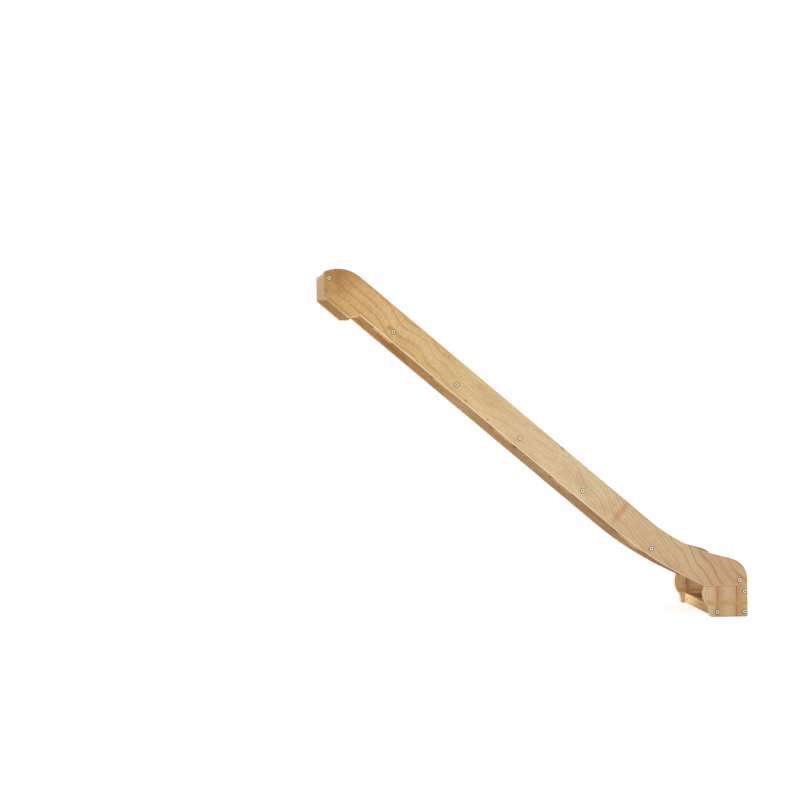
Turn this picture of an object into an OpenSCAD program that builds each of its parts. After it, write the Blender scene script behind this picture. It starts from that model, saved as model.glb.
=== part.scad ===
// Toddler slide that hangs on the side rail of a raised bed and stands on its own foot.
// Two side boards carry a bent plywood bed on flat cross battens. A foot of two shaped panels,
// a riser and a stretcher stands under the exit. Everything is held by connector bolts in
// barrel nuts, cam locks, dowels and screws, so the slide comes apart flat.
// Millimetres. +X runs downhill to the exit, Y runs across, and Z = 0 is the floor.

/* [Overall] */
// Length along the floor, from the bed rail to the exit
overall_l = 1625; // [1575:5:1700]
// Width over the two side boards
overall_w = 406; // [366:2:506]
// Slope of the straight run, in degrees
slope = 40; // [38:0.5:41]

/* [Boards] */
// Thickness of the side boards and foot panels
board_t = 25; // [22:1:28]
// Height of the side boards above the batten line, square to the slope
board_above = 79; // [70:1:90]
// Depth of the side boards below the batten line, square to the slope
board_below = 32; // [28:1:36]
// Radius of the rounded head at the top of a side board
head_r = 131; // [120:1:136]
// How far the head's lower edge hangs below the batten line
head_drop = 67; // [60:1:72]
// Radius of the hollow in the top edge, above the exit
dip_r = 660; // [600:10:700]
// Slope of the top edge just before the nose, in degrees
dip_end = 14.5; // [12:0.5:17]
// Radius of the rounded nose at the exit
nose_r = 82; // [70:1:90]
// Radius of the lower edge as it levels out towards the foot
belly_r = 1380; // [1300:10:1450]

/* [Sliding bed] */
// Thickness of the bent plywood
bed_t = 9; // [6:1:12]
// Radius of the batten line where the slope levels out
bend_r = 536; // [500:2:560]
// Level length of the bed at the exit
exit_flat = 31.5; // [28:0.5:40]
// Height of the batten line at the exit
exit_z = 140.5; // [138:0.5:150]
// Radius of the top surface where it rolls over the bed rail
roll_top_r = 60; // [50:1:70]

/* [Battens] */
// Thickness of the battens
batten_t = 19; // [16:1:22]
// Width of a sloping batten
batten_w = 95; // [80:1:100]
// Spacing of the sloping battens along the slope
batten_pitch = 314.5; // [300:0.5:320]
// Distance of the fourth sloping batten above the bend
batten_start = 345.8; // [330:0.1:360]
// Width of the level batten at the exit
exit_batten_w = 63; // [50:1:63]
// Thickness of the board that hangs on the bed rail
hanger_t = 38; // [32:1:40]
// Height of the hanger board's lower face above the floor
hanger_z = 1228; // [1200:1:1240]

/* [Foot] */
// Height of the foot panels
foot_h = 118; // [114:1:124]
// Length of a foot panel on the floor
foot_l = 146.6; // [140:0.2:160]
// Radius of both halves of the foot's curved edge
ogee_r = 64; // [56:1:66]
// Height of the straight heel at the bottom of the curved edge
heel_z = 9.4; // [9:0.2:14]
// Height at which the foot panel bulges most
bulge_z = 86.4; // [80:0.2:90]
// Thickness of the riser under the exit
riser_t = 25; // [19:1:28]
// Height of the stretcher
stretcher_h = 40; // [30:1:50]
// Distance of the stretcher and its bolt from the exit
stretcher_at = 119; // [110:1:124]

/* [Fasteners] */
// Radius of the flat bolt heads
bolt_head_r = 8.5; // [7:0.5:9]
// Radius of the bolts
bolt_r = 3; // [3:0.5:4]
// Distance between the two bolt holes of the hanger board
hanger_spacing = 250; // [200:10:260]
// Radius of the hanger board's bolt holes
hanger_hole_r = 4.5; // [3.5:0.5:5]

/* [Hidden] */
$fn = 48;

RIGHT = -1;             // the right hand of a child who faces downhill
LEFT = 1;
SIDES = [RIGHT, LEFT];
arc_step = 6;           // longest straight piece of a drawn arc
past = 1;               // how far a cutter runs past a surface
inner_w = overall_w - 2 * board_t;
x_exit = overall_l / 2;
x_back = -overall_l / 2;

// The batten line: straight down the slope, round the bend, and level at the exit
bend_c = [x_exit - exit_flat, exit_z + bend_r];
bend_start = bend_c - bend_r * [sin(slope), cos(slope)];
bed_under = batten_t / 2;
bed_over = bed_under + bed_t;
roll_r = roll_top_r - bed_over;
roll_s = (bend_start.x - x_back - roll_r * sin(slope)) / cos(slope);
roll_c = on_slope(roll_s, -roll_r);
bed_gap = 0.5;          // between the bed's edge and a side board

// Side board
head_s = 1519;          // distance of the head's centre up the slope
head_c = on_slope(head_s, board_above - head_r);
head_back = acos((x_back - head_c.x) / head_r);
step_s = 1428;          // distance of the step behind the head up the slope
step_h = 12;            // how far the step hangs below the board's lower edge
dip_s = 70;             // where the hollow of the top edge starts, up the slope
dip_c = on_slope(dip_s, board_above + dip_r);
dip_low = dip_c - dip_r * [sin(dip_end), cos(dip_end)];
nose_z = dip_low.y - (x_exit - nose_r - dip_low.x) * tan(dip_end) - nose_r / cos(dip_end);
belly_s = 128.5;        // where the lower edge starts to level out, up the slope
belly_c = on_slope(belly_s, belly_r - board_below);
belly_end = -180 - asin((foot_h - belly_c.y) / belly_r);
small_r = 5;            // rounding of the head's small corners

// Battens: their centres, from the top down
batten_s = [for (i = [3:-1:0]) batten_start + i * batten_pitch];
batten_at = concat([for (s = batten_s) on_slope(s, 0)], [bend_start]);
exit_at = [x_exit - exit_batten_w / 2, exit_z];
hanger_bolt_x = x_back + hanger_t / 2;
hanger_bolt_z = bend_start.y + (bend_start.x - hanger_bolt_x) * tan(slope);
hanger_hole_z = 1258;   // height of the hanger board's bolt holes

// Foot
riser_h = exit_z - batten_t / 2;
riser_bolts_z = [97.5, 20];
stretcher_t = 19;
heel_r = 8;
hollow_c = [x_exit - foot_l - ogee_r, heel_z];
bulge_angle = asin((bulge_z - heel_z) / (2 * ogee_r));
bulge_c = hollow_c + 2 * ogee_r * [cos(bulge_angle), sin(bulge_angle)];
bulge_top = 180 - asin((foot_h - bulge_z) / ogee_r);

// Connector bolts and barrel nuts
bolt_head_h = 2.2;
head_chamfer = 0.8;
socket_flat = 4;        // across the flats of the hex socket
socket_d = 2.6;
barrel_in = 32;         // from a side board's inner face to the barrel nut
barrel_r = 5;
barrel_l = 14;
bolt_past = 8;          // how far the bolt runs past the barrel nut's centre
bolt_l = board_t + barrel_in + bolt_past;
bolt_clear = 0.5;
barrel_clear = 0.1;
slot_w = 1.2;           // screwdriver slots
slot_d = 1.5;

// Cam locks, cam dowels and wooden dowels between each foot panel and its side board
cam_at = [x_exit - 133.6, x_exit - 48];
cam_z = foot_h - 34;
cam_r = 7.5;
cam_l = 13;
cam_rim_r = 8.5;
cam_rim_h = 0.8;
cam_dowel_in = 9.5;     // from the panel's inner face to the cam dowel's axis
cam_dowel_r = 3.5;
cam_thread_r = 3;
cam_thread_l = 11;
cam_neck_r = 1.8;
cam_ball_r = 3.2;
dowel_at = [x_exit - 105, x_exit - 75];
dowel_r = 4;
dowel_l = 30;

// Screws from the battens up into the bed
screw_y = [-130, 0, 130];
screw_r = 2;
screw_head_r = 4;
screw_head_h = 2.4;
screw_bite = 6.5;       // how far a screw reaches into the bed

// A point s up the slope from the bend, and d above the batten line, as [x, z]
function on_slope(s, d) = bend_start + s * [-cos(slope), sin(slope)] + d * [sin(slope), cos(slope)];

// An arc about c, from angle a to angle b, in steps no longer than arc_step
function arc(c, r, a, b) =
    let (n = max(6, ceil(abs(b - a) / 360 * 2 * PI * r / arc_step)))
    [for (i = [0:n]) let (t = a + (b - a) * i / n) c + r * [cos(t), sin(t)]];

// The corner at b, between a and c, rounded to radius r
function rounded(a, b, c, r) =
    let (u = (a - b) / norm(a - b), v = (c - b) / norm(c - b),
         half = acos(u * v) / 2,
         centre = b + (u + v) / norm(u + v) * r / sin(half),
         first = b + u * r / tan(half) - centre,
         last = b + v * r / tan(half) - centre,
         start = atan2(first.y, first.x),
         turn = atan2(first.x * last.y - first.y * last.x, first * last))
    arc(centre, r, start, start + turn);

function reversed(list) = [for (i = [len(list) - 1:-1:0]) list[i]];

// The batten line moved up by d, from the bed rail down to the exit
function bed_line(d) = concat(
    arc(roll_c, roll_r + d, 90, 90 - slope),
    arc(bend_c, bend_r - d, -90 - slope, -90),
    [[x_exit, exit_z + d]]
);

// A side board's outline, from the foot of its exit end round by the top edge
function side_outline() =
    let (back_s = (bend_start.x - x_back - head_drop * sin(slope)) / cos(slope),
         back_low = on_slope(back_s, -head_drop),
         step_top = on_slope(step_s, -board_below),
         step_low = on_slope(step_s, -board_below - step_h),
         land_s = (step_low.y - bend_start.y + head_drop * cos(slope)) / sin(slope),
         land = on_slope(land_s, -head_drop))
    concat(
        [[x_exit, foot_h]],
        arc([x_exit - nose_r, nose_z], nose_r, 0, 90 - dip_end),
        arc(dip_c, dip_r, -90 - dip_end, -90 - slope),
        arc(head_c, head_r, 90 - slope, head_back),
        [back_low],
        rounded(back_low, land, step_low, small_r),
        rounded(land, step_low, step_top, small_r),
        [step_top],
        arc(belly_c, belly_r, -90 - slope, belly_end)
    );

// A foot panel's outline, from its corner on the floor at the exit
function foot_outline() =
    let (heel = [x_exit - foot_l, 0])
    concat(
        [[x_exit, 0], [x_exit, foot_h]],
        arc(bulge_c, ogee_r, bulge_top, 180 + bulge_angle),
        arc(hollow_c, ogee_r, bulge_angle, 0),
        rounded([heel.x, heel_z], heel, [x_exit, 0], heel_r)
    );

// The hanger board's end, whose top follows the underside of the bed
function hanger_outline() =
    let (r = roll_r + bed_under, front = x_back + hanger_t)
    concat(
        [[x_back, hanger_z], [front, hanger_z]],
        [[front, roll_c.y + (r - hanger_t * sin(slope)) / cos(slope)]],
        arc(roll_c, r, 90 - slope, 90)
    );

// Extrudes an outline in X and Z across the slide, w wide and centred on y
module across(outline, y, w) {
    translate([0, y + w / 2, 0]) rotate([90, 0, 0]) linear_extrude(w) polygon(outline);
}

// Moves a piece drawn about the origin to p = [x, z], and tilts its +Z downhill
module place(p, tilt) {
    translate([p.x, 0, p.y]) rotate([0, tilt, 0]) children();
}

// Puts a piece at p on a side's outer face, with its +Z outwards
module on_face(p, side) {
    translate([p.x, side * overall_w / 2, p.y]) rotate([-90 * side, 0, 0]) children();
}

module connector_bolt() {
    difference() {
        union() {
            cylinder(r = bolt_head_r, h = bolt_head_h - head_chamfer);
            translate([0, 0, bolt_head_h - head_chamfer])
                cylinder(r1 = bolt_head_r, r2 = bolt_head_r - head_chamfer, h = head_chamfer);
            translate([0, 0, -bolt_l]) cylinder(r = bolt_r, h = bolt_l + past);
        }
        translate([0, 0, bolt_head_h - socket_d])
            cylinder(r = socket_flat / 2 / cos(30), h = socket_d + past, $fn = 6);
    }
}

// A clearance hole through a side board or foot panel, for a bolt at p
module bolt_hole(p, side) {
    on_face(p, side) translate([0, 0, -board_t - past])
        cylinder(r = bolt_r + bolt_clear, h = board_t + 2 * past);
}

// The holes in both ends of a cross member t thick, at each distance along its local X
module end_holes(t, bolts = [0]) {
    for (side = SIDES, b = bolts) {
        translate([b, side * (inner_w / 2 + past), 0]) rotate([90 * side, 0, 0])
            cylinder(r = bolt_r + bolt_clear, h = barrel_in + bolt_past + 2 * past);
        translate([b, side * (inner_w / 2 - barrel_in), -t / 2 - past])
            cylinder(r = barrel_r + barrel_clear, h = t / 2 + past + barrel_l / 2);
    }
}

// A flat cross member w wide and t thick, drilled in both ends
module cross_member(w, t, bolts = [0]) {
    difference() {
        cube([w, inner_w, t], center = true);
        end_holes(t, bolts);
    }
}

// The barrel nuts that belong in end_holes
module barrel_nuts(bolts = [0]) {
    for (side = SIDES, b = bolts)
        translate([b, side * (inner_w / 2 - barrel_in), 0])
            difference() {
                cylinder(r = barrel_r, h = barrel_l, center = true);
                rotate([90, 0, 0]) cylinder(r = bolt_r, h = 2 * barrel_r + 2 * past, center = true);
                translate([-barrel_r - past, -slot_w / 2, -barrel_l / 2 - past])
                    cube([2 * barrel_r + 2 * past, slot_w, slot_d + past]);
            }
}

// A row of bed screws in the frame of a batten
module screw_row() {
    for (y = screw_y) translate([0, y, -bed_under]) {
        cylinder(r1 = screw_head_r, r2 = screw_r, h = screw_head_h);
        cylinder(r = screw_r, h = batten_t + screw_bite);
    }
}

module all_screw_rows() {
    for (p = batten_at) place(p, slope) screw_row();
    place(exit_at, 0) screw_row();
}

module side_board(side) {
    y_mid = side * (inner_w + board_t) / 2;
    color("#DDBD91") difference() {
        across(side_outline(), y_mid, board_t);
        for (p = batten_at) bolt_hole(p, side);
        bolt_hole([hanger_bolt_x, hanger_bolt_z], side);
        bolt_hole(exit_at, side);
        for (x = cam_at)
            translate([x, side * (inner_w / 2 + cam_dowel_in), foot_h - past])
                cylinder(r = cam_thread_r, h = cam_thread_l + past);
        for (x = dowel_at)
            translate([x, y_mid, foot_h - past]) cylinder(r = dowel_r, h = dowel_l / 2 + past);
    }
}

module slide_bed() {
    color("#E6CBA2") difference() {
        across(concat(bed_line(bed_over), reversed(bed_line(bed_under))), 0, inner_w - 2 * bed_gap);
        all_screw_rows();
    }
}

module batten(i) {
    color("#D9B88A") place(batten_at[i], slope) difference() {
        cross_member(batten_w, batten_t);
        screw_row();
    }
}

module exit_batten() {
    color("#D9B88A") place(exit_at, 0) difference() {
        cross_member(exit_batten_w, batten_t);
        screw_row();
    }
}

module hanger_board() {
    color("#D4B183") difference() {
        across(hanger_outline(), 0, inner_w);
        place([hanger_bolt_x, hanger_bolt_z], -90) end_holes(hanger_t);
        for (side = SIDES)
            translate([x_back - past, side * hanger_spacing / 2, hanger_hole_z]) rotate([0, 90, 0])
                cylinder(r = hanger_hole_r, h = hanger_t + 2 * past);
    }
}

module foot_panel(side) {
    y_mid = side * (inner_w + board_t) / 2;
    y_cam = side * (inner_w / 2 + cam_dowel_in);
    color("#D6B587") difference() {
        across(foot_outline(), y_mid, board_t);
        for (z = riser_bolts_z) bolt_hole([x_exit - riser_t / 2, z], side);
        bolt_hole([x_exit - stretcher_at, stretcher_h / 2], side);
        for (x = cam_at) {
            translate([x, side * (inner_w / 2 - past), cam_z]) rotate([-90 * side, 0, 0])
                cylinder(r = cam_r, h = cam_l + past);
            translate([x, y_cam, cam_z]) cylinder(r = cam_dowel_r, h = foot_h - cam_z + past);
        }
        for (x = dowel_at)
            translate([x, y_mid, foot_h - dowel_l / 2]) cylinder(r = dowel_r, h = dowel_l / 2 + past);
    }
}

// The riser's bolts, as distances down from its middle
riser_bolts = [for (z = riser_bolts_z) riser_h / 2 - z];

module foot_riser() {
    color("#D6B587") place([x_exit - riser_t / 2, riser_h / 2], 90)
        cross_member(riser_h, riser_t, riser_bolts);
}

module foot_stretcher() {
    color("#D6B587") place([x_exit - stretcher_at, stretcher_h / 2], 90)
        cross_member(stretcher_h, stretcher_t);
}

// A bolt at p on each side
module bolt_pair(p) {
    for (side = SIDES) on_face(p, side) connector_bolt();
}

module batten_bolts() {
    color("#C9C4B4") for (p = batten_at) bolt_pair(p);
}

module hanger_side_bolts() {
    color("#C9C4B4") bolt_pair([hanger_bolt_x, hanger_bolt_z]);
}

module exit_bolts() {
    color("#C9C4B4") bolt_pair(exit_at);
}

module riser_bolt_pairs() {
    color("#C9C4B4") for (z = riser_bolts_z) bolt_pair([x_exit - riser_t / 2, z]);
}

module stretcher_bolts() {
    color("#C9C4B4") bolt_pair([x_exit - stretcher_at, stretcher_h / 2]);
}

module batten_barrel_nuts() {
    color("#B7B3A6") for (p = batten_at) place(p, slope) barrel_nuts();
}

module hanger_barrel_nuts() {
    color("#B7B3A6") place([hanger_bolt_x, hanger_bolt_z], -90) barrel_nuts();
}

module exit_barrel_nuts() {
    color("#B7B3A6") place(exit_at, 0) barrel_nuts();
}

module riser_barrel_nuts() {
    color("#B7B3A6") place([x_exit - riser_t / 2, riser_h / 2], 90) barrel_nuts(riser_bolts);
}

module stretcher_barrel_nuts() {
    color("#B7B3A6") place([x_exit - stretcher_at, stretcher_h / 2], 90) barrel_nuts();
}

// A cam in its pocket, with its rim on the panel's inner face and a cross for the screwdriver
module cam_lock(x, side) {
    difference() {
        translate([x, side * inner_w / 2, cam_z]) rotate([-90 * side, 0, 0]) difference() {
            union() {
                cylinder(r = cam_r - barrel_clear, h = cam_l - barrel_clear);
                translate([0, 0, -cam_rim_h]) cylinder(r = cam_rim_r, h = cam_rim_h);
            }
            for (turn = [0, 90]) rotate([0, 0, turn])
                translate([-cam_r / 2, -slot_w / 2, -cam_rim_h - past])
                    cube([cam_r, slot_w, cam_rim_h + slot_d + past]);
        }
        translate([x, side * (inner_w / 2 + cam_dowel_in), cam_z - cam_dowel_r])
            cylinder(r = cam_dowel_r, h = 2 * cam_r);
    }
}

module cam_locks() {
    color("#A9A79E") for (side = SIDES, x = cam_at) cam_lock(x, side);
}

module cam_dowels() {
    color("#B7B3A6") for (side = SIDES, x = cam_at)
        translate([x, side * (inner_w / 2 + cam_dowel_in), cam_z]) {
            sphere(r = cam_ball_r);
            cylinder(r = cam_neck_r, h = cam_r + past);
            translate([0, 0, cam_r]) cylinder(r = cam_dowel_r - barrel_clear, h = foot_h - cam_z - cam_r);
            translate([0, 0, foot_h - cam_z]) cylinder(r = cam_thread_r, h = cam_thread_l);
        }
}

module wooden_dowels() {
    color("#D9BF96") for (side = SIDES, x = dowel_at)
        translate([x, side * (inner_w + board_t) / 2, foot_h])
            cylinder(r = dowel_r, h = dowel_l, center = true);
}

// The screws, each with a cross in its head
module bed_screws() {
    color("#B0AC9F") difference() {
        all_screw_rows();
        for (p = batten_at) place(p, slope) screw_slots();
        place(exit_at, 0) screw_slots();
    }
}

module screw_slots() {
    for (y = screw_y, turn = [0, 90]) translate([0, y, -bed_under]) rotate([0, 0, turn])
        translate([-screw_r, -slot_w / 2, -past]) cube([2 * screw_r, slot_w, slot_d + past]);
}

side_board(RIGHT);  // side_board_right
side_board(LEFT);  // side_board_left
slide_bed();
batten(0);  // batten_1
batten(1);  // batten_2
batten(2);  // batten_3
batten(3);  // batten_4
batten(4);  // batten_5
exit_batten();
hanger_board();
foot_panel(RIGHT);  // foot_panel_right
foot_panel(LEFT);  // foot_panel_left
foot_riser();
foot_stretcher();
batten_bolts();
hanger_side_bolts();
exit_bolts();
riser_bolt_pairs();  // riser_bolts
stretcher_bolts();
batten_barrel_nuts();
hanger_barrel_nuts();
exit_barrel_nuts();
riser_barrel_nuts();
stretcher_barrel_nuts();
cam_locks();
cam_dowels();
wooden_dowels();
bed_screws();
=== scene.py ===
"""Looks of a wooden toddler slide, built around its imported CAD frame.

Every board is a copy of its CAD node with eased edges. The sliding bed is built here as bent
plywood, so that its layers follow the bend, and the bolts get sockets and threads. All materials
are procedural. Metres, +X downhill to the exit, -Y the near side, +Z up, floor at Z = 0.
"""

import math

import bmesh
import bpy
from mathutils import Euler, Matrix, Vector


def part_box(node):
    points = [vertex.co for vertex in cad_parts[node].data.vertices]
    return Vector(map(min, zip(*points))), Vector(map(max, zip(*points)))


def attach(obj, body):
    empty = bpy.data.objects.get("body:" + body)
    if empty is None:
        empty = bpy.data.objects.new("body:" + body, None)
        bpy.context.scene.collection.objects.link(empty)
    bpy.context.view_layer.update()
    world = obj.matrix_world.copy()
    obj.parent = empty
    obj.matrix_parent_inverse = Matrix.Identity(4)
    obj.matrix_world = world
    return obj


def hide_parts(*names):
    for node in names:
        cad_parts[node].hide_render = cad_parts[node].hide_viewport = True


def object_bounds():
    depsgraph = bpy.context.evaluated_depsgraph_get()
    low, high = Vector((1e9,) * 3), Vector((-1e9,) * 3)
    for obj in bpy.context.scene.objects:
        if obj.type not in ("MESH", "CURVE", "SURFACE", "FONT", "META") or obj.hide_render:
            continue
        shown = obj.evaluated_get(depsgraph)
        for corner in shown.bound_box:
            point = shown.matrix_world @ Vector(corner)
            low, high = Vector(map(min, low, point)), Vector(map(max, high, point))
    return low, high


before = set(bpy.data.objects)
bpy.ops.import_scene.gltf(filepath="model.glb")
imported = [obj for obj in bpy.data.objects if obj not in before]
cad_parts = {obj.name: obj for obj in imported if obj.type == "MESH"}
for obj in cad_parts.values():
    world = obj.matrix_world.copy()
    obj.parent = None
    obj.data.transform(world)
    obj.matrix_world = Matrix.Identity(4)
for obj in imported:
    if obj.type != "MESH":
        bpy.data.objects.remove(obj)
cad_low, cad_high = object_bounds()

BODY = "root"
SLOPE = math.radians(40)

# ---------------------------------------------------------------- node helpers


def new_material(name):
    """A new material and its empty node tree."""
    material = bpy.data.materials.new(name)
    material.use_nodes = True
    material.node_tree.nodes.clear()
    return material, material.node_tree


def put(tree, kind, inputs=None, **settings):
    """Adds a node with its settings.

    inputs maps an input's name or number to a value or to another node's output.
    """
    made = tree.nodes.new(kind)
    for name, value in settings.items():
        setattr(made, name, value)
    for name, value in (inputs or {}).items():
        if isinstance(value, bpy.types.NodeSocket):
            tree.links.new(value, made.inputs[name])
        else:
            made.inputs[name].default_value = value
    return made


def calc(tree, operation, *values, clamp=False):
    """The output of a Math node."""
    inputs = dict(enumerate(values))
    return put(tree, "ShaderNodeMath", inputs, operation=operation, use_clamp=clamp).outputs[0]


def product(tree, first, *others):
    """The product of two or more values."""
    for value in others:
        first = calc(tree, "MULTIPLY", first, value)
    return first


def remap(tree, value, low, high, to_low=0.0, to_high=1.0, smooth=True):
    """value from low..high to to_low..to_high, clamped."""
    kind = "SMOOTHSTEP" if smooth else "LINEAR"
    inputs = {"Value": value, "From Min": low, "From Max": high}
    inputs |= {"To Min": to_low, "To Max": to_high}
    return put(tree, "ShaderNodeMapRange", inputs, interpolation_type=kind).outputs["Result"]


def combined(tree, x, y, z):
    """A vector made of three values."""
    return put(tree, "ShaderNodeCombineXYZ", {0: x, 1: y, 2: z}).outputs[0]


def split(tree, vector):
    """The X, Y and Z values of a vector."""
    parts = put(tree, "ShaderNodeSeparateXYZ", {0: vector})
    return parts.outputs["X"], parts.outputs["Y"], parts.outputs["Z"]


def stretched(tree, place, scale, shift=(0, 0, 0)):
    """A place scaled along each axis and then shifted."""
    inputs = {"Vector": place, "Scale": scale, "Location": shift}
    return put(tree, "ShaderNodeMapping", inputs).outputs[0]


def noise(tree, place, scale, detail=2.0, rough=0.5):
    """Noise about 0, roughly from -0.5 to 0.5."""
    inputs = {"Vector": place, "Scale": scale, "Detail": detail, "Roughness": rough}
    made = put(tree, "ShaderNodeTexNoise", inputs)
    return calc(tree, "SUBTRACT", made.outputs["Fac"], 0.5)


def stretched_noise(tree, place, scales, detail, rough=0.5, shift=(0, 0, 0)):
    """Noise with its own scale along each axis."""
    return noise(tree, stretched(tree, place, scales, shift), 1.0, detail, rough)


def chance_of(tree, number, seed):
    """A random value from 0 to 1 for each whole number."""
    inputs = {"W": calc(tree, "ADD", number, seed)}
    return put(tree, "ShaderNodeTexWhiteNoise", inputs, noise_dimensions="1D").outputs["Value"]


def attribute(tree, name):
    """A value stored on the mesh, or 0 where the mesh has none."""
    return put(tree, "ShaderNodeAttribute", attribute_name=name).outputs["Fac"]


def blend_colour(tree, share, a, b):
    """Colour a with a share of it replaced by colour b."""
    return put(tree, "ShaderNodeMix", {0: share, 6: a, 7: b}, data_type="RGBA").outputs[2]


def shaded(tree, colour, shade):
    """A colour with its value raised by a share of itself."""
    inputs = {"Color": colour, "Value": calc(tree, "ADD", 1.0, shade)}
    return put(tree, "ShaderNodeHueSaturation", inputs).outputs[0]


def seen_or_lit(tree, seen, lit):
    """The seen shader where the camera looks straight at it, and the lit one for other light."""
    to_camera = put(tree, "ShaderNodeLightPath").outputs["Is Camera Ray"]
    inputs = {0: to_camera, 1: lit.outputs[0], 2: seen.outputs[0]}
    return put(tree, "ShaderNodeMixShader", inputs).outputs[0]


def grey(level):
    """An even colour."""
    return (level, level, level, 1)


def srgb(red, green, blue):
    """A colour given as 0 to 255 in sRGB, as linear RGBA."""
    linear = [c / 255 / 12.92 if c <= 10.3 else ((c / 255 + 0.055) / 1.055) ** 2.4
              for c in (red, green, blue)]
    return (*linear, 1)


# ---------------------------------------------------------------- camera, light and floor

CAMERA_AT = Vector((-1.274, -6.177, 0.948))
CAMERA_YAW = math.radians(4.257)
CAMERA_LIFT = math.radians(0.395)
CAMERA_ROLL = math.radians(-0.22)
CAMERA_LENS_MM = 71.64
CAMERA_SHIFT = (0.1, -0.05)
CAMERA_FAR = 200

WORLD_SEEN = 1.05       # brightness of the white room to the eye
WORLD_LIT = 0.74        # and as light on the wood
FLOOR_HALF = 30
FLOOR_GAP = 0.0002      # keeps the floor clear of the foot's underside
FLOOR_SEEN = 0.55       # share of the light that the floor shows to the eye
FLOOR_GLOW = 0.75       # what it adds of its own, so that only a faint shadow is left
FLOOR_LIT = 0.92        # share of the light that it throws back on the wood
SPOT_BLEND = 0.8
SPOT_RADIUS = 0.1


def make_camera():
    """The main camera on the near side, level but for a small lift and roll."""
    forward = Vector((
        math.sin(CAMERA_YAW) * math.cos(CAMERA_LIFT),
        math.cos(CAMERA_YAW) * math.cos(CAMERA_LIFT),
        math.sin(CAMERA_LIFT),
    ))
    level_right = Vector((math.cos(CAMERA_YAW), -math.sin(CAMERA_YAW), 0))
    level_up = level_right.cross(forward)
    right = level_right * math.cos(CAMERA_ROLL) + level_up * math.sin(CAMERA_ROLL)
    up = right.cross(forward)
    data = bpy.data.cameras.new("camera")
    data.lens = CAMERA_LENS_MM
    data.shift_x, data.shift_y = CAMERA_SHIFT
    data.clip_end = CAMERA_FAR
    camera = bpy.data.objects.new("camera", data)
    camera.matrix_world = Matrix((
        (right.x, up.x, -forward.x, CAMERA_AT.x),
        (right.y, up.y, -forward.y, CAMERA_AT.y),
        (right.z, up.z, -forward.z, CAMERA_AT.z),
        (0, 0, 0, 1),
    ))
    bpy.context.scene.collection.objects.link(camera)
    bpy.context.scene.camera = camera


def make_world():
    """White all round: plain to the eye, and softer as light, so that the lamps shape the wood."""
    world = bpy.data.worlds.new("white_room")
    bpy.context.scene.world = world
    world.use_nodes = True
    tree = world.node_tree
    tree.nodes.clear()
    seen = put(tree, "ShaderNodeBackground", {"Color": grey(1), "Strength": WORLD_SEEN})
    lit = put(tree, "ShaderNodeBackground", {"Color": grey(1), "Strength": WORLD_LIT})
    put(tree, "ShaderNodeOutputWorld", {"Surface": seen_or_lit(tree, seen, lit)})


def make_floor():
    """A pale floor that looks white up to the horizon, and still takes a soft shadow."""
    corners = [(x * FLOOR_HALF, y * FLOOR_HALF, 0) for x, y in ((-1, -1), (1, -1), (1, 1), (-1, 1))]
    mesh = bpy.data.meshes.new("floor")
    mesh.from_pydata(corners, [], [(0, 1, 2, 3)])
    floor = bpy.data.objects.new("floor", mesh)
    floor.location.z = cad_low.z - FLOOR_GAP
    material, tree = new_material("pale_floor")
    lit = put(tree, "ShaderNodeBsdfDiffuse", {"Color": grey(FLOOR_LIT)})
    softer = put(tree, "ShaderNodeBsdfDiffuse", {"Color": grey(FLOOR_SEEN)})
    glow = put(tree, "ShaderNodeEmission", {"Color": grey(1), "Strength": FLOOR_GLOW})
    seen = put(tree, "ShaderNodeAddShader", {0: softer.outputs[0], 1: glow.outputs[0]})
    put(tree, "ShaderNodeOutputMaterial", {"Surface": seen_or_lit(tree, seen, lit)})
    mesh.materials.append(material)
    bpy.context.scene.collection.objects.link(floor)


def add_lamp(name, kind, energy, towards, at=None):
    """A lamp that shines from at towards a point, or along towards if it has no place."""
    data = bpy.data.lights.new(name, kind)
    data.energy = energy
    lamp = bpy.data.objects.new(name, data)
    aim = Vector(towards)
    if at:
        lamp.location = at
        aim -= Vector(at)
    lamp.rotation_mode = "QUATERNION"
    lamp.rotation_quaternion = aim.to_track_quat("-Z", "Y")
    bpy.context.scene.collection.objects.link(lamp)
    return data


def make_panel(name, at, towards, size, watts):
    """A rectangular soft lamp."""
    data = add_lamp(name, "AREA", watts, towards, at)
    data.shape = "RECTANGLE"
    data.size, data.size_y = size


def make_lamps():
    """Two big panels for the near side, a narrow spot into the foot, and a wide sun for the tops."""
    make_panel("left_panel", (-4.5, -0.6, 0.3), (0.2, 0, 0.6), size=(2.5, 2.5), watts=22)
    make_panel("right_panel", (2.6, -5.0, 1.4), (0.2, -0.2, 0.6), size=(3.0, 2.0), watts=42)
    spot = add_lamp("floor_spot", "SPOT", 500, towards=(0.70, 0.20, 0.07), at=(-3.0, -1.1, 0.12))
    spot.spot_size = math.radians(5.5)
    spot.spot_blend = SPOT_BLEND
    spot.shadow_soft_size = SPOT_RADIUS
    sun = add_lamp("top_sun", "SUN", 0.8, towards=(0.25, 0.5, -1.0))
    sun.angle = math.radians(40)


# ---------------------------------------------------------------- wood

# Turns that lay each piece's grain along X
ALONG_SLOPE = (0, -SLOPE, 0)
ACROSS_ON_SLOPE = (0, -SLOPE, -math.pi / 2)
ACROSS = (0, 0, -math.pi / 2)
UPRIGHT = (0, math.pi / 2, 0)

# Directions of the faces that get a painted highlight: a lighter colour where light falls on them
# from below and from the left
UNDER_TILT = SLOPE * 0.3        # between the slope's underside and the level one at the exit
UNDERSIDE = (-math.sin(UNDER_TILT), 0, -math.cos(UNDER_TILT))
REAR = (-1, 0, 0)

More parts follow.
